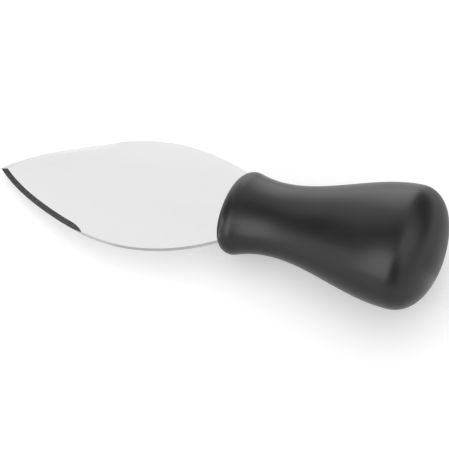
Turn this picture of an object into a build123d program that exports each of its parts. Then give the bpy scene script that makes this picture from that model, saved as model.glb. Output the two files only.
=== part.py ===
from build123d import *
import math
import os

os.makedirs("parts", exist_ok=True)

# Parmesan knife: an almond-shaped stamped blade moulded into a flared oval handle
# Millimetres. While the knife is built, X runs along the handle's axis from the tip to the butt,
# Y is across the blade and Z is square to its faces. The origin is the middle of the handle's front.

# Blade sheet and outline; the keen side is -Y, the plain side +Y, reaches are along X from the origin
sheet = 1.6
tip_reach = 84.7
tip_drop = 2.5
tip_slope_plain = 0.95
tip_slope_keen = -0.83
flank_reach_plain = 60.0
flank_plain = 11.75
flank_reach_keen = 61.8
flank_keen = 15.25
crown_reach_plain = 30.0
crown_plain = 20.1
crown_reach_keen = 33.5
crown_keen = 21.8
heel_reach = 1.2
heel_plain = 15.1
heel_slope_plain = -0.36
heel_keen = 13.0
heel_slope_keen = 0.60

# Ground bevels, on both faces of both edges, from the tip back to where the wheel was lifted
edge_land = 0.2
bevel_width = 1.75
bevel_share = 0.416
wheel_radius = 10.0
wheel_lift = 40
grind_spare = 0.6

# Tang, hidden in the handle, with two holes that the moulding fills
shoulder_reach = 4.2
shoulder_lead = 2.6
shoulder_turn = 4.0
tang_half = 7.5
tang_reach = 54.0
tang_corner = 3.0
lock_hole = 5.0
lock_first = 18.0
lock_second = 42.0

# Handle: half widths along the axis, and how flat its oval section is
flatness = 0.76
front_half = 16.6
front_flare = 0.39
flare_reach = 4.2
rim_radius = 4.3
front_rake = 0.059
front_spare = 2.5
waist_reach = 16.2
waist_half = 12.73
butt_reach = 59.6
butt_half = 21.35
handle_length = 71.5
dome_fullness = 0.618

# Lying at rest: samples round the handle's middle section, steepest tilt and closeness, in radians
rest_points = 600
rest_steepest = 0.3
rest_close = 0.00001

# Two faces whose centres are nearer than this are the same face
same_place = 0.0001


def smooth_run(start, start_slope, end, end_slope):
    # a cubic between two points with a set slope at each
    third = (end[0] - start[0]) / 3
    return Bezier(
        start,
        (start[0] + third, start[1] + start_slope * third),
        (end[0] - third, end[1] - end_slope * third),
        end,
    )


def almond_edge(flank, crown, heel, tip_slope, heel_slope):
    # one edge of the almond, from the tip to where it enters the handle
    return Spline([(-tip_reach, -tip_drop), flank, crown, heel], tangents=[(1, tip_slope), (1, heel_slope)])


def shoulder_edge(heel, heel_slope, side):
    # the hidden rounded shoulder between the heel and the tang
    lead = (heel[0] + shoulder_lead, heel[1] + heel_slope * shoulder_lead)
    end = (shoulder_reach, side * tang_half)
    return Bezier(heel, lead, (end[0], end[1] + side * shoulder_turn), end)


def grind(edge, side):
    # the waste that the wheel takes off both faces along the front part of one edge
    ground = edge.trim(0, bevel_share)
    entry = ground @ 0 - (ground % 0) * wheel_radius
    lift = JernArc(ground @ 1, ground % 1, wheel_radius, side * wheel_lift)
    path = Wire([Line(entry, ground @ 0), ground, lift])
    slope = (sheet - edge_land) / 2 / bevel_width
    inner = bevel_width + grind_spare
    high = edge_land / 2 + slope * inner
    low = edge_land / 2 - slope * grind_spare
    across = Plane(origin=entry, x_dir=(ground % 0).cross(Vector(0, 0, side)), z_dir=ground % 0)
    waste = Part()
    for face_side in (1, -1):
        corners = [(inner, face_side * high), (-grind_spare, face_side * low), (-grind_spare, face_side * high)]
        waste += sweep(across * make_face(Polyline(corners, close=True)), path=path)
    return waste


def stamping():
    # the blade, its heel and the tang, cut from one sheet
    keen_flank, keen_crown = (-flank_reach_keen, -flank_keen), (-crown_reach_keen, -crown_keen)
    plain_flank, plain_crown = (-flank_reach_plain, flank_plain), (-crown_reach_plain, crown_plain)
    keen_heel, plain_heel = (-heel_reach, -heel_keen), (-heel_reach, heel_plain)
    keen = almond_edge(keen_flank, keen_crown, keen_heel, tip_slope_keen, heel_slope_keen)
    plain = almond_edge(plain_flank, plain_crown, plain_heel, tip_slope_plain, heel_slope_plain)
    keen_shoulder = shoulder_edge(keen_heel, heel_slope_keen, -1)
    plain_shoulder = shoulder_edge(plain_heel, heel_slope_plain, 1)
    root = Line((shoulder_reach, -tang_half), (shoulder_reach, tang_half))
    almond = make_face([keen, plain, keen_shoulder, plain_shoulder, root])
    tang_length = tang_reach - shoulder_reach
    tang = Pos(shoulder_reach + tang_length / 2, 0) * Rectangle(tang_length, 2 * tang_half)
    tang = fillet(tang.vertices().group_by(Axis.X)[-1], tang_corner)
    outline = almond + tang - Pos(lock_first, 0) * Circle(lock_hole / 2) - Pos(lock_second, 0) * Circle(lock_hole / 2)
    plate = extrude(Pos(0, 0, -sheet / 2) * outline, sheet)
    return plate - grind(keen, -1) - grind(plain, 1)


def side_line():
    # half the handle's plan: flare, waist, swell and dome
    flare_end = (flare_reach, front_half - front_flare * flare_reach)
    front = (-front_spare, front_half + front_flare * front_spare)
    waist = (waist_reach, waist_half)
    butt = (butt_reach, butt_half)
    dome = handle_length - butt_reach
    return [
        Line(front, flare_end),
        smooth_run(flare_end, -front_flare, waist, 0),
        smooth_run(waist, 0, butt, 0),
        Bezier(
            butt,
            (butt_reach + dome_fullness * dome, butt_half),
            (handle_length, dome_fullness * butt_half),
            (handle_length, 0),
        ),
    ]


def grip_body():
    # the oval moulding before the stamping is set into it
    lines = side_line()
    closing = Polyline((handle_length, 0), (-front_spare, 0), lines[0] @ 0)
    turned = revolve(make_face(lines + [closing]), axis=Axis.X)
    front = Plane(origin=(0, 0, 0), z_dir=(1, -front_rake, 0))
    turned = split(turned, bisect_by=front, keep=Keep.TOP)
    turned = fillet(turned.faces().filter_by(GeomType.PLANE).edges(), rim_radius)
    return scale(turned, by=(1, 1, flatness))


def rest_tilt(body):
    # how far the tip dips when the rim and the swell of the underside both touch the table
    middle = (body & Plane.XZ * Rectangle(2 * handle_length, 2 * butt_half)).faces()[0]
    points = middle.outer_wire().positions([step / rest_points for step in range(rest_points)])

    def lowest(points, tilt):
        return min(p.Z * math.cos(tilt) + p.X * math.sin(tilt) for p in points)

    front = [p for p in points if p.X < waist_reach]
    rear = [p for p in points if p.X > waist_reach]
    level, steep = 0.0, rest_steepest
    while steep - level > rest_close:
        tilt = (level + steep) / 2
        level, steep = (tilt, steep) if lowest(rear, tilt) < lowest(front, tilt) else (level, tilt)
    return math.degrees(level)


def marked_at_handle(stamped, body):
    # the stamping with its flats parted along the line where the moulding starts
    bare, set_in = (stamped - body).faces(), (stamped & body).faces()

    def matched(face, others):
        return any((face.center() - other.center()).length < same_place for other in others)

    skin = [face for face in bare if not matched(face, set_in)] + [face for face in set_in if not matched(face, bare)]
    return Solid(Shell(skin))


# The moulding is filled by the stamping, so its cavity, slot and two plugs follow the stamping's shape
body = grip_body()
stamped = stamping()
handle = body - stamped
blade = marked_at_handle(stamped, body)

# The knife lies on its handle: tipped to rest, set on the table and centred over the origin
lie = Rot(0, -rest_tilt(body), 0)
box = Compound([lie * blade, lie * handle]).bounding_box()
place = Pos(-box.center().X, -box.center().Y, -box.min.Z) * lie
export_step(place * blade, "parts/blade.step")
export_step(place * handle, "parts/handle.step")
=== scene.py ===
import bpy
import bmesh
import math
from mathutils import Matrix, Vector


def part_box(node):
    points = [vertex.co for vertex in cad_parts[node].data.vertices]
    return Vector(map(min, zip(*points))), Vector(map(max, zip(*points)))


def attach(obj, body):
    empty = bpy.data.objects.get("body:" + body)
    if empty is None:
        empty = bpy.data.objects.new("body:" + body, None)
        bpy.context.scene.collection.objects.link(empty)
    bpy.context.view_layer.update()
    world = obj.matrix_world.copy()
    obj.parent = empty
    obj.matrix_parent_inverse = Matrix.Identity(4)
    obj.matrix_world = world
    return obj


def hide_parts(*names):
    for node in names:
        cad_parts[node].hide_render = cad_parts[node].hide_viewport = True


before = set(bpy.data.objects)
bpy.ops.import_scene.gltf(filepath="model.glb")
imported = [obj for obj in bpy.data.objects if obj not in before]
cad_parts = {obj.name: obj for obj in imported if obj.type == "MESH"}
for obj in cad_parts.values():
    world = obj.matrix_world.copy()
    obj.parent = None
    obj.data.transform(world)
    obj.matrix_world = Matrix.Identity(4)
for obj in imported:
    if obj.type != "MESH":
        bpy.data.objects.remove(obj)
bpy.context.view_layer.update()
print("frame loaded")

# The knife lies on its handle with the tip dipped by this tilt. In its own frame X runs along the handle's
# axis from tip to butt, Y across the blade and Z square to the sheet. All lengths are in metres.
restTilt = math.radians(5.4816)
lie = Matrix.Rotation(-restTilt, 4, "Y")


# Small helpers for node trees

def addNode(tree, kind, place, **values):
    # a name that the node itself has is set there, any other is an input's name with _ for each space
    node = tree.nodes.new(kind)
    node.location = place
    for name, value in values.items():
        if hasattr(node, name):
            setattr(node, name, value)
        else:
            node.inputs[name.replace("_", " ")].default_value = value
    return node


def link(tree, source, target):
    tree.links.new(source, target)


def mathNode(tree, operation, place, first, second=None):
    # first and second are sockets or plain numbers
    node = addNode(tree, "ShaderNodeMath", place, operation=operation)
    for socket, value in zip(node.inputs, (first, second)):
        if isinstance(value, bpy.types.NodeSocket):
            link(tree, value, socket)
        elif value is not None:
            socket.default_value = value
    return node.outputs[0]


def newMaterial(name):
    material = bpy.data.materials.new(name)
    material.use_nodes = True
    tree = material.node_tree
    tree.nodes.clear()
    output = addNode(tree, "ShaderNodeOutputMaterial", (900, 0))
    shader = addNode(tree, "ShaderNodeBsdfPrincipled", (600, 0))
    link(tree, shader.outputs["BSDF"], output.inputs["Surface"])
    return material, tree, shader


noiseSpan = (0.3, 0.7)   # nearly all of a noise's values lie between these


def spread(tree, source, low, high, place):
    # a noise value spread between two levels
    least, most = noiseSpan
    node = addNode(tree, "ShaderNodeMapRange", place, From_Min=least, From_Max=most, To_Min=low, To_Max=high)
    link(tree, source, node.inputs["Value"])
    return node.outputs["Result"]


def toneMix(tree, source, dark, light, place):
    node = addNode(tree, "ShaderNodeMix", place, data_type="RGBA")
    node.inputs["A"].default_value = (*dark, 1)
    node.inputs["B"].default_value = (*light, 1)
    link(tree, source, node.inputs["Factor"])
    return node.outputs["Result"]


def bump(tree, shader, height, strength, depth, place):
    node = addNode(tree, "ShaderNodeBump", place, Strength=strength, Distance=depth)
    link(tree, height, node.inputs["Height"])
    link(tree, node.outputs["Normal"], shader.inputs["Normal"])


# Grain that the steel and the plastic both use, each with its own scales, stretch and strength

grainLook = {
    "cloud": {"Detail": 3.0, "Roughness": 0.5},
    "grain": {"Detail": 4.0, "Roughness": 0.65},
    "fine": {"Detail": 2.0, "Roughness": 0.5},
    "fineRatio": 2.7,   # scale of the fine noise against the grain's
}


def surfaceGrainGroup():
    group = bpy.data.node_groups.new("surfaceGrain", "ShaderNodeTree")
    face = group.interface
    face.new_socket("Vector", in_out="INPUT", socket_type="NodeSocketVector")
    for name in ("Grain Scale", "Cloud Scale", "Fine Share"):
        face.new_socket(name, in_out="INPUT", socket_type="NodeSocketFloat")
    for name in ("Cloud", "Grain", "Height"):
        face.new_socket(name, in_out="OUTPUT", socket_type="NodeSocketFloat")
    entry = addNode(group, "NodeGroupInput", (-900, 0))
    leave = addNode(group, "NodeGroupOutput", (500, 0))
    cloud = addNode(group, "ShaderNodeTexNoise", (-400, 200), **grainLook["cloud"])
    grain = addNode(group, "ShaderNodeTexNoise", (-400, -100), **grainLook["grain"])
    fine = addNode(group, "ShaderNodeTexNoise", (-400, -400), **grainLook["fine"])
    for noise in (cloud, grain, fine):
        link(group, entry.outputs["Vector"], noise.inputs["Vector"])
    grainScale = entry.outputs["Grain Scale"]
    fineScale = mathNode(group, "MULTIPLY", (-650, -400), grainScale, grainLook["fineRatio"])
    link(group, entry.outputs["Cloud Scale"], cloud.inputs["Scale"])
    link(group, grainScale, grain.inputs["Scale"])
    link(group, fineScale, fine.inputs["Scale"])
    both = addNode(group, "ShaderNodeMix", (-100, -200), data_type="FLOAT")
    link(group, entry.outputs["Fine Share"], both.inputs["Factor"])
    link(group, grain.outputs["Fac"], both.inputs["A"])
    link(group, fine.outputs["Fac"], both.inputs["B"])
    link(group, cloud.outputs["Fac"], leave.inputs["Cloud"])
    link(group, grain.outputs["Fac"], leave.inputs["Grain"])
    link(group, both.outputs["Result"], leave.inputs["Height"])
    return group


surfaceGrain = surfaceGrainGroup()


def grainNode(tree, vector, stretch, scales):
    # the mapping turns the pattern to the lying knife and stretches it along the grain
    mapping = addNode(tree, "ShaderNodeMapping", (-1100, 0), Rotation=(0, restTilt, 0), Scale=stretch)
    link(tree, vector, mapping.inputs["Vector"])
    grain = addNode(tree, "ShaderNodeGroup", (-850, 0), node_tree=surfaceGrain)
    for name, value in scales.items():
        grain.inputs[name].default_value = value
    link(tree, mapping.outputs["Vector"], grain.inputs["Vector"])
    return grain


# Blade: a stamping with satin flats, ground bevels along its front edges and a tumbled sheet edge

blade = {
    "finishes": {
        "satinSteel": {
            "tones": ((0.80, 0.80, 0.80), (0.86, 0.86, 0.86)),
            "roughness": (0.17, 0.22),
            "stretch": (0.06, 1.0, 1.0),
            "bumpStrength": 0.012,
            "run": None,
        },
        "groundSteel": {
            "tones": ((0.38, 0.38, 0.385), (0.46, 0.46, 0.46)),
            "roughness": (0.14, 0.22),
            "stretch": (1.0, 1.0, 1.0),
            "bumpStrength": 0.10,
            "run": "alongEdge",
        },
        # the sheared edge's darker tones are partly its own rougher steel and partly painted shade of the
        # shaded floor it reflects
        "shearedSteel": {
            "tones": ((0.50, 0.50, 0.50), (0.62, 0.62, 0.62)),
            "roughness": (0.28, 0.42),
            "stretch": (1.0, 1.0, 0.1),
            "bumpStrength": 0.12,
            "run": None,
        },
    },
    "grain": {"Grain Scale": 1500.0, "Cloud Scale": 30.0, "Fine Share": 0.4},
    "bumpDepth": 0.00002,
    "weld": 0.000002,
    "flatFrom": 0.995,      # a face is a flat from this cosine of its lean upwards
    "groundFrom": 0.6,      # and ground from this one
    "levelWithin": 0.05,    # degrees between triangles that are joined
    "sharpFrom": 9.0,       # degrees between faces that meet in a sharp edge
    "tumbledEdge": 0.00012,
    "tumbledSteps": 2,
    "tumbledRound": 0.5,    # a true round
    "markDrift": 0.02,      # how far the marks' pattern moves on across the bevel, as a share of the way
}
satin, ground, sheared = range(len(blade["finishes"]))


def steelMaterial(name, tones, roughness, stretch, bumpStrength, run):
    # run names an attribute that follows the edge, for marks left square to it
    material, tree, shader = newMaterial(name)
    shader.inputs["Metallic"].default_value = 1.0
    if run:
        vector = addNode(tree, "ShaderNodeAttribute", (-1300, 0), attribute_name=run).outputs["Vector"]
    else:
        vector = addNode(tree, "ShaderNodeTexCoord", (-1300, 0)).outputs["Object"]
    grain = grainNode(tree, vector, stretch, blade["grain"])
    base = toneMix(tree, spread(tree, grain.outputs["Cloud"], 0, 1, (0, 250)), *tones, (250, 250))
    link(tree, base, shader.inputs["Base Color"])
    link(tree, spread(tree, grain.outputs["Grain"], *roughness, (250, -50)), shader.inputs["Roughness"])
    bump(tree, shader, grain.outputs["Height"], bumpStrength, blade["bumpDepth"], (300, -350))
    return material


def finishFor(lean):
    if lean > blade["flatFrom"]:
        return satin
    return ground if lean > blade["groundFrom"] else sheared


def stampingMesh():
    # the sheet's triangles welded into one skin, with a finish by how each leans from the flats
    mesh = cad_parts["blade"].data.copy()
    mesh.materials.clear()
    work = bmesh.new()
    work.from_mesh(mesh)
    bmesh.ops.remove_doubles(work, verts=work.verts, dist=blade["weld"])
    bmesh.ops.dissolve_degenerate(work, edges=work.edges, dist=blade["weld"])
    square = lie.to_3x3() @ Vector((0, 0, 1))
    for face in work.faces:
        face.material_index = finishFor(abs(face.normal.dot(square)))
    work.to_mesh(mesh)
    work.free()
    return mesh


def sharpenCorners(work, angle):
    # smooth faces, with a sharp edge wherever two of them meet at more than angle
    for edge in work.edges:
        edge.smooth = not (len(edge.link_faces) == 2 and edge.calc_face_angle(0) > math.radians(angle))
    for face in work.faces:
        face.smooth = True


def followEdge(work):
    # an attribute for the ground faces: the distance from the tip, with the side as its sign
    layer = work.verts.layers.float_vector.new("alongEdge")
    tip = min(work.verts, key=lambda v: v.co.x).co.copy()
    for vert in work.verts:
        away = vert.co - tip
        drift = blade["markDrift"] * away
        vert[layer] = (math.copysign(away.length, away.y), drift.y, drift.z)


def finishBlade(mesh):
    # flats and bevels made whole, and the sheared corners tumbled round
    work = bmesh.new()
    work.from_mesh(mesh)
    bmesh.ops.dissolve_limit(
        work, angle_limit=math.radians(blade["levelWithin"]), verts=work.verts, edges=work.edges,
        delimit={"MATERIAL"},
    )
    corners = [
        edge for edge in work.edges
        if len(edge.link_faces) == 2
        and {face.material_index for face in edge.link_faces} == {satin, sheared}
    ]
    bmesh.ops.bevel(
        work, geom=corners, offset=blade["tumbledEdge"], segments=blade["tumbledSteps"],
        profile=blade["tumbledRound"], affect="EDGES", clamp_overlap=True, material=sheared,
    )
    followEdge(work)
    sharpenCorners(work, blade["sharpFrom"])
    bmesh.ops.triangulate(work, faces=work.faces)
    work.to_mesh(mesh)
    work.free()


stamping = bpy.data.objects.new("stampedBlade", stampingMesh())
bpy.context.scene.collection.objects.link(stamping)
for name, finish in blade["finishes"].items():
    stamping.data.materials.append(steelMaterial(name, **finish))
print("blade welded and sorted")

# Handle: its side line is turned about the axis, raked at the front, flattened to an oval and moulded
# round the stamping. Flare and rake are slopes, fullness and flatness shares.

grip = {
    "frontHalf": 0.0166,
    "frontFlare": 0.39,
    "flareReach": 0.0042,
    "rimRadius": 0.0043,
    "frontRake": 0.059,
    "waistReach": 0.0162,
    "waistHalf": 0.01273,
    "buttReach": 0.0596,
    "buttHalf": 0.02135,
    "length": 0.0715,
    "domeFullness": 0.618,
    "flatness": 0.76,
    "segments": 128,
    "stations": 170,
    "lineSteps": 48,        # along the rim and along the neck; swell and dome have twice as many each
    "closeness": 1e-9,      # of the search for the end of the rim's round
    "weld": 0.000001,
    "sharpFrom": 25.0,
    "darkPlastic": (0.010, 0.010, 0.0105),
    "lightPlastic": (0.015, 0.015, 0.0155),
    "roughness": (0.30, 0.37),
    "refraction": 1.46,
    "grain": {"Grain Scale": 1800.0, "Cloud Scale": 60.0, "Fine Share": 0.5},
    "bumpStrength": 0.10,
    "bumpDepth": 0.00003,
}


def bezierPoint(points, t):
    a, b, c, d = (Vector(p) for p in points)
    return a * (1 - t) ** 3 + b * 3 * t * (1 - t) ** 2 + c * 3 * t * t * (1 - t) + d * t ** 3


def bezierSlope(points, t):
    a, b, c, d = (Vector(p) for p in points)
    return (b - a) * 3 * (1 - t) ** 2 + (c - b) * 6 * t * (1 - t) + (d - c) * 3 * t * t


def bezierRun(points, start, steps):
    # points along a stretch from start to its end, without the first
    return [bezierPoint(points, start + (1 - start) * step / steps) for step in range(1, steps + 1)]


def smoothRun(start, startSlope, end, endSlope):
    third = (end[0] - start[0]) / 3
    return (
        start,
        (start[0] + third, start[1] + startSlope * third),
        (end[0] - third, end[1] - endSlope * third),
        end,
    )


def sideLine(size):
    # half the plan from the middle of the front to the end of the butt, as (reach, half width) points;
    # also where the rim's round meets the neck, the slope there and the half width of the front's flat
    radius = size["rimRadius"]
    flareEnd = (size["flareReach"], size["frontHalf"] - size["frontFlare"] * size["flareReach"])
    waist = (size["waistReach"], size["waistHalf"])
    butt = (size["buttReach"], size["buttHalf"])
    dome = size["length"] - size["buttReach"]
    neck = smoothRun(flareEnd, -size["frontFlare"], waist, 0)
    swell = smoothRun(waist, 0, butt, 0)
    end = (
        butt,
        (butt[0] + size["domeFullness"] * dome, butt[1]),
        (size["length"], size["domeFullness"] * butt[1]),
        (size["length"], 0),
    )

    def roundCentre(t):
        along = bezierSlope(neck, t).normalized()
        return bezierPoint(neck, t) + Vector((along.y, -along.x)) * radius

    low, high = 0.0, 1.0
    while high - low > size["closeness"]:
        middle = (low + high) / 2
        low, high = (middle, high) if roundCentre(middle).x < radius else (low, middle)
    centre, along = roundCentre(low), bezierSlope(neck, low).normalized()
    leave = math.atan2(along.x, -along.y)
    steps = size["lineSteps"]
    points = [Vector((0, 0)), Vector((0, centre.y))]
    for step in range(1, steps + 1):
        turn = math.pi + (leave - math.pi) * step / steps
        points.append(centre + radius * Vector((math.cos(turn), math.sin(turn))))
    points += bezierRun(neck, low, steps) + bezierRun(swell, 0, 2 * steps) + bezierRun(end, 0, 2 * steps)
    return points, bezierPoint(neck, low).x, along.y / along.x, centre.y


def lineObject(name, points):
    data = bpy.data.curves.new(name, "CURVE")
    data.dimensions = "3D"
    spline = data.splines.new("POLY")
    spline.points.add(len(points) - 1)
    for spot, point in zip(spline.points, points):
        spot.co = (point.x, point.y, 0, 1)
    line = bpy.data.objects.new(name, data)
    bpy.context.scene.collection.objects.link(line)
    return line


def turnedOvalTree():
    tree = bpy.data.node_groups.new("turnedOval", "GeometryNodeTree")
    face = tree.interface
    face.new_socket("Geometry", in_out="OUTPUT", socket_type="NodeSocketGeometry")
    for name, kind in (
        ("Side Line", "Object"), ("Stamping", "Object"), ("Plastic", "Material"),
        ("Segments", "Int"), ("Stations", "Int"), ("Weld", "Float"),
        ("Flatness", "Float"), ("Front Rake", "Float"), ("Rake Radius", "Float"),
        ("Rim Reach", "Float"), ("Rim Slope", "Float"), ("Waist Reach", "Float"),
        ("Turn", "Vector"), ("Place", "Vector"),
    ):
        face.new_socket(name, in_out="INPUT", socket_type="NodeSocket" + kind)
    entry = addNode(tree, "NodeGroupInput", (-1800, 0))
    leave = addNode(tree, "NodeGroupOutput", (1700, 0))

    # a unit sheet of points round its middle: along the side line one way, round the axis the other
    rows = mathNode(tree, "ADD", (-1600, -200), entry.outputs["Segments"], 1)
    grid = addNode(tree, "GeometryNodeMeshGrid", (-1400, 200), Size_X=1.0, Size_Y=1.0)
    link(tree, entry.outputs["Stations"], grid.inputs["Vertices X"])
    link(tree, rows, grid.inputs["Vertices Y"])
    spot = addNode(tree, "GeometryNodeInputPosition", (-1600, -400))
    split = addNode(tree, "ShaderNodeSeparateXYZ", (-1400, -400))
    link(tree, spot.outputs[0], split.inputs[0])
    along = mathNode(tree, "ADD", (-1200, -350), split.outputs["X"], 0.5)
    turn = mathNode(tree, "MULTIPLY", (-1200, -500), split.outputs["Y"], 2 * math.pi)

    # reach and half width from the side line
    line = addNode(tree, "GeometryNodeObjectInfo", (-1400, 0))
    link(tree, entry.outputs["Side Line"], line.inputs["Object"])
    sample = addNode(tree, "GeometryNodeSampleCurve", (-1000, -100), mode="FACTOR", use_all_curves=True)
    link(tree, line.outputs["Geometry"], sample.inputs["Curves"])
    link(tree, along, sample.inputs["Factor"])
    place = addNode(tree, "ShaderNodeSeparateXYZ", (-800, -50))
    slope = addNode(tree, "ShaderNodeSeparateXYZ", (-800, -250))
    link(tree, sample.outputs["Position"], place.inputs[0])
    link(tree, sample.outputs["Tangent"], slope.inputs[0])
    reach, half = place.outputs["X"], place.outputs["Y"]

    # the rake slides the rim back along the flare on one side and forward on the other
    inner = mathNode(tree, "MINIMUM", (-600, -400), half, entry.outputs["Rake Radius"])
    lean = mathNode(tree, "MULTIPLY", (-450, -400), inner, mathNode(tree, "COSINE", (-600, -550), turn))
    lean = mathNode(tree, "MULTIPLY", (-300, -400), lean, entry.outputs["Front Rake"])
    fade = addNode(
        tree, "ShaderNodeMapRange", (-600, -700), interpolation_type="SMOOTHSTEP", To_Min=1.0, To_Max=0.0
    )
    link(tree, reach, fade.inputs["Value"])
    link(tree, entry.outputs["Rim Reach"], fade.inputs["From Min"])
    link(tree, entry.outputs["Waist Reach"], fade.inputs["From Max"])
    lean = mathNode(tree, "MULTIPLY", (-150, -400), lean, fade.outputs["Result"])
    pastRim = mathNode(tree, "GREATER_THAN", (-600, -250), reach, entry.outputs["Rim Reach"])
    fall = mathNode(tree, "DIVIDE", (-600, -150), slope.outputs["Y"], slope.outputs["X"])
    pick = addNode(tree, "GeometryNodeSwitch", (-400, -150), input_type="FLOAT")
    link(tree, pastRim, pick.inputs["Switch"])
    link(tree, entry.outputs["Rim Slope"], pick.inputs["False"])
    link(tree, fall, pick.inputs["True"])
    newReach = mathNode(tree, "ADD", (0, -50), reach, lean)
    slide = mathNode(tree, "MULTIPLY", (-100, -200), pick.outputs[0], lean)
    newHalf = mathNode(tree, "ADD", (50, -200), half, slide)

    # round the axis, flattened
    across = mathNode(tree, "MULTIPLY", (200, -200), newHalf, mathNode(tree, "COSINE", (50, -350), turn))
    height = mathNode(tree, "MULTIPLY", (200, -400), newHalf, mathNode(tree, "SINE", (50, -500), turn))
    height = mathNode(tree, "MULTIPLY", (350, -400), height, entry.outputs["Flatness"])
    whole = addNode(tree, "ShaderNodeCombineXYZ", (500, -200))
    for socket, value in zip(whole.inputs, (newReach, across, height)):
        link(tree, value, socket)
    shape = addNode(tree, "GeometryNodeSetPosition", (650, 100))
    link(tree, grid.outputs["Mesh"], shape.inputs["Geometry"])
    link(tree, whole.outputs[0], shape.inputs["Position"])
    welded = addNode(tree, "GeometryNodeMergeByDistance", (800, 100))
    link(tree, shape.outputs[0], welded.inputs["Geometry"])
    link(tree, entry.outputs["Weld"], welded.inputs["Distance"])
    laid = addNode(tree, "GeometryNodeTransform", (950, 100))
    link(tree, welded.outputs[0], laid.inputs["Geometry"])
    link(tree, entry.outputs["Turn"], laid.inputs["Rotation"])
    link(tree, entry.outputs["Place"], laid.inputs["Translation"])

    # the stamping's own form is left out of the plastic
    metal = addNode(tree, "GeometryNodeObjectInfo", (950, -200))
    link(tree, entry.outputs["Stamping"], metal.inputs["Object"])
    cut = addNode(tree, "GeometryNodeMeshBoolean", (1100, 50), operation="DIFFERENCE", solver="EXACT")
    link(tree, laid.outputs[0], cut.inputs["Mesh 1"])
    link(tree, metal.outputs["Geometry"], cut.inputs["Mesh 2"])
    realised = addNode(tree, "GeometryNodeRealizeInstances", (1250, 50))
    link(tree, cut.outputs["Mesh"], realised.inputs[0])
    dressed = addNode(tree, "GeometryNodeSetMaterial", (1400, 50))
    link(tree, realised.outputs[0], dressed.inputs["Geometry"])
    link(tree, entry.outputs["Plastic"], dressed.inputs["Material"])
    link(tree, dressed.outputs[0], leave.inputs["Geometry"])
    return tree


def plasticMaterial(look):
    material, tree, shader = newMaterial("blackPlastic")
    shader.inputs["IOR"].default_value = look["refraction"]
    vector = addNode(tree, "ShaderNodeTexCoord", (-1300, 0)).outputs["Object"]
    grain = grainNode(tree, vector, (1.0, 1.0, 1.0), look["grain"])
    cloud = grain.outputs["Cloud"]
    shade = spread(tree, cloud, 0, 1, (0, 250))
    base = toneMix(tree, shade, look["darkPlastic"], look["lightPlastic"], (250, 250))
    link(tree, base, shader.inputs["Base Color"])
    link(tree, spread(tree, cloud, *look["roughness"], (250, -50)), shader.inputs["Roughness"])
    bump(tree, shader, grain.outputs["Height"], look["bumpStrength"], look["bumpDepth"], (300, -350))
    return material


def setInputs(modifier, values):
    # inputs are set by the socket's identifier
    for item in modifier.node_group.interface.items_tree:
        if item.item_type == "SOCKET" and item.in_out == "INPUT":
            modifier[item.identifier] = values[item.name]


def placeOnNode(points, flatness):
    # how far the laid oval has to move to fill the handle's box: butt, middle across and underside
    ways = ((1, 0), (-1, 0), (0, 1), (0, -1))
    outer = [(point.x, wide * point.y, high * point.y * flatness) for point in points for wide, high in ways]
    laid = [lie.to_3x3() @ Vector(point) for point in outer]
    low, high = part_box("handle")
    return Vector((
        high[0] - max(point.x for point in laid),
        (low[1] + high[1]) / 2,
        low[2] - min(point.z for point in laid),
    ))


def makeHandle(size, stamping):
    points, rimReach, rimSlope, rakeRadius = sideLine(size)
    line = lineObject("sideLine", points)
    maker = bpy.data.objects.new("handleMaker", bpy.data.meshes.new("handleMaker"))
    bpy.context.scene.collection.objects.link(maker)
    modifier = maker.modifiers.new("turnedOval", "NODES")
    modifier.node_group = turnedOvalTree()
    setInputs(modifier, {
        "Side Line": line,
        "Stamping": stamping,
        "Plastic": plasticMaterial(size),
        "Segments": size["segments"],
        "Stations": size["stations"],
        "Weld": size["weld"],
        "Flatness": size["flatness"],
        "Front Rake": size["frontRake"],
        "Rake Radius": rakeRadius,
        "Rim Reach": rimReach,
        "Rim Slope": rimSlope,
        "Waist Reach": size["waistReach"],
        "Turn": (0, -restTilt, 0),
        "Place": placeOnNode(points, size["flatness"]),
    })
    ready = maker.evaluated_get(bpy.context.evaluated_depsgraph_get())
    mesh = bpy.data.meshes.new_from_object(ready)
    made = bpy.data.objects.new("mouldedHandle", mesh)
    bpy.context.scene.collection.objects.link(made)
    for spare in (maker, line):
        bpy.data.objects.remove(spare)
    return made


def finishHandle(mesh):
    work = bmesh.new()
    work.from_mesh(mesh)
    bmesh.ops.recalc_face_normals(work, faces=work.faces)
    sharpenCorners(work, grip["sharpFrom"])
    work.to_mesh(mesh)
    work.free()


# the handle is cut by the plain welded stamping, whose corners are tumbled only afterwards
handle = makeHandle(grip, stamping)
finishHandle(handle.data)
print("handle moulded:", len(handle.data.polygons), "faces", handle.dimensions[:])
finishBlade(stamping.data)
print("blade finished:", len(stamping.data.polygons), "faces")

for piece, node, slot in ((stamping, "blade", "blade_steel"), (handle, "handle", "handle_plastic")):
    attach(piece, "root")
    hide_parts(node)

# Studio: a pale floor and surroundings, one lamp, and bright and dark cards that only reflections see, two
# of them painted shadow lying on the floor

studio = {
    "aim": (0.0, 0.0, 0.012),
    "floorSize": 6.0,
    "floorColour": (0.72, 0.72, 0.72),
    "floorRoughness": 0.8,
    "floorSpecular": 0.2,
    "floorLift": 0.35,
    "worldStrength": 0.94,
    "lampDistance": 1.1,
    "lampSize": 1.0,
    "lampPower": 2.0,
    "lampFrom": (115.0, 55.0),
    "shadeCardLift": 0.0003,
}
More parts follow.
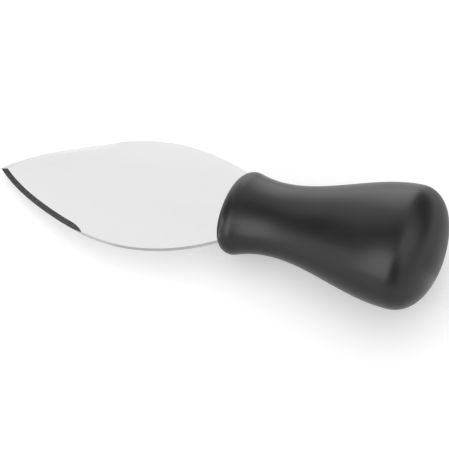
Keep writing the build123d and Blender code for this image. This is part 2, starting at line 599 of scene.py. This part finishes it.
# azimuth, elevation, width and height of each card in degrees, its distance in metres and its level
cards = {
    "rimBox": (-160, 15, 12, 20, 0.30, 5.0),
    "frontBox": (-105, 43, 38, 46, 0.35, 3.0),
    "flatBox": (140, 46, 28, 24, 0.95, 1.0),
    "bevelBox": (135, 8, 26, 15, 0.40, 2.2),
    "rearBox": (105, 15, 30, 48, 0.45, 2.5),
    "sideBox": (-5, 55, 45, 45, 1.04, 1.5),
    "overheadFlag": (180, 35, 45, 45, 1.06, 0.15),
    "rearFlag": (65, 20, 45, 40, 1.08, 0.05),
    "cameraFlag": (-70, 35, 40, 50, 1.10, 0.15),
    "topFlag": (75, 85, 100, 30, 1.12, 0.10),
    "sideFlag": (55, 12, 70, 35, 1.14, 0.10),
}
# cards of painted floor shadow, seen only in reflections, that lie on the floor before the handle and past
# its butt: left, right, near and far side, level
floorShadeCards = {
    "nearCard": (-0.030, 0.095, -0.120, -0.008, 0.75),
    "endCard": (0.060, 0.140, 0.000, 0.090, 0.65),
}


def towards(azimuth, elevation, distance):
    # azimuth from +X towards +Y
    a, e = math.radians(azimuth), math.radians(elevation)
    way = Vector((math.cos(e) * math.cos(a), math.cos(e) * math.sin(a), math.sin(e)))
    return Vector(studio["aim"]) + distance * way


def makeFloor():
    bpy.ops.mesh.primitive_plane_add(size=studio["floorSize"], location=(0, 0, 0))
    floor = bpy.context.object
    floor.name = "floor"
    material, tree, shader = newMaterial("paleFloor")
    shader.inputs["Base Color"].default_value = (*studio["floorColour"], 1)
    shader.inputs["Roughness"].default_value = studio["floorRoughness"]
    shader.inputs["Specular IOR Level"].default_value = studio["floorSpecular"]
    rays = addNode(tree, "ShaderNodeLightPath", (-300, -200))
    seen = rays.outputs["Is Camera Ray"]
    for across, kind in ((-100, "Is Glossy Ray"), (50, "Is Transmission Ray")):
        seen = mathNode(tree, "MAXIMUM", (across, -200), seen, rays.outputs[kind])
    lift = mathNode(tree, "MULTIPLY", (200, -200), seen, studio["floorLift"])
    shader.inputs["Emission Color"].default_value = (1, 1, 1, 1)
    link(tree, lift, shader.inputs["Emission Strength"])
    floor.data.materials.append(material)


def glowCard(name, place, turn, width, height, level):
    # a card that only reflections see
    bpy.ops.mesh.primitive_plane_add(size=1, location=place, rotation=turn)
    card = bpy.context.object
    card.name = name
    card.scale = (width, height, 1)
    material = bpy.data.materials.new(name)
    material.use_nodes = True
    tree = material.node_tree
    tree.nodes.clear()
    output = addNode(tree, "ShaderNodeOutputMaterial", (300, 0))
    glow = addNode(tree, "ShaderNodeEmission", (0, 0), Strength=level)
    link(tree, glow.outputs["Emission"], output.inputs["Surface"])
    card.data.materials.append(material)
    card.visible_camera = False
    card.visible_diffuse = False
    card.visible_shadow = False


def hangCard(name, azimuth, elevation, width, height, distance, level):
    place = towards(azimuth, elevation, distance)
    turn = (Vector(studio["aim"]) - place).to_track_quat("Z", "Y").to_euler()
    across, tall = (2 * distance * math.tan(math.radians(angle) / 2) for angle in (width, height))
    glowCard(name, place, turn, across, tall, level)


# a card of painted floor shadow, lying on the floor and seen only in reflections
def layShadeCard(name, left, right, near, far, level):
    place = ((left + right) / 2, (near + far) / 2, studio["shadeCardLift"])
    glowCard(name, place, (0, 0, 0), right - left, far - near, level)


def makeWorld():
    world = bpy.data.worlds.new("studio")
    bpy.context.scene.world = world
    world.use_nodes = True
    backdrop = world.node_tree.nodes["Background"]
    backdrop.inputs["Color"].default_value = (1, 1, 1, 1)
    backdrop.inputs["Strength"].default_value = studio["worldStrength"]


def makeLamp():
    data = bpy.data.lights.new("keyLamp", "AREA")
    data.shape = "SQUARE"
    data.size = studio["lampSize"]
    data.energy = studio["lampPower"]
    lamp = bpy.data.objects.new("keyLamp", data)
    lamp.location = towards(*studio["lampFrom"], studio["lampDistance"])
    lamp.rotation_euler = (Vector(studio["aim"]) - lamp.location).to_track_quat("-Z", "Y").to_euler()
    lamp.visible_glossy = False
    bpy.context.scene.collection.objects.link(lamp)


# Camera at the photograph's angle: place in metres, turn in degrees

view = {
    "lens": 174.0,
    "nearest": 0.01,
    "location": (0.2138, -0.3243, 0.5953),
    "turn": (32.29, 7.50, 21.43),
}


def makeCamera():
    data = bpy.data.cameras.new("camera")
    data.lens = view["lens"]
    data.clip_start = view["nearest"]
    camera = bpy.data.objects.new("camera", data)
    camera.location = view["location"]
    camera.rotation_euler = [math.radians(turn) for turn in view["turn"]]
    bpy.context.scene.collection.objects.link(camera)
    bpy.context.scene.camera = camera


makeFloor()
makeWorld()
makeLamp()
for name, values in cards.items():
    hangCard(name, *values)
# painted shadow on the floor, seen only in reflections
for name, values in floorShadeCards.items():
    layShadeCard(name, *values)
makeCamera()
bpy.context.scene.view_settings.view_transform = "Standard"
print("studio set")
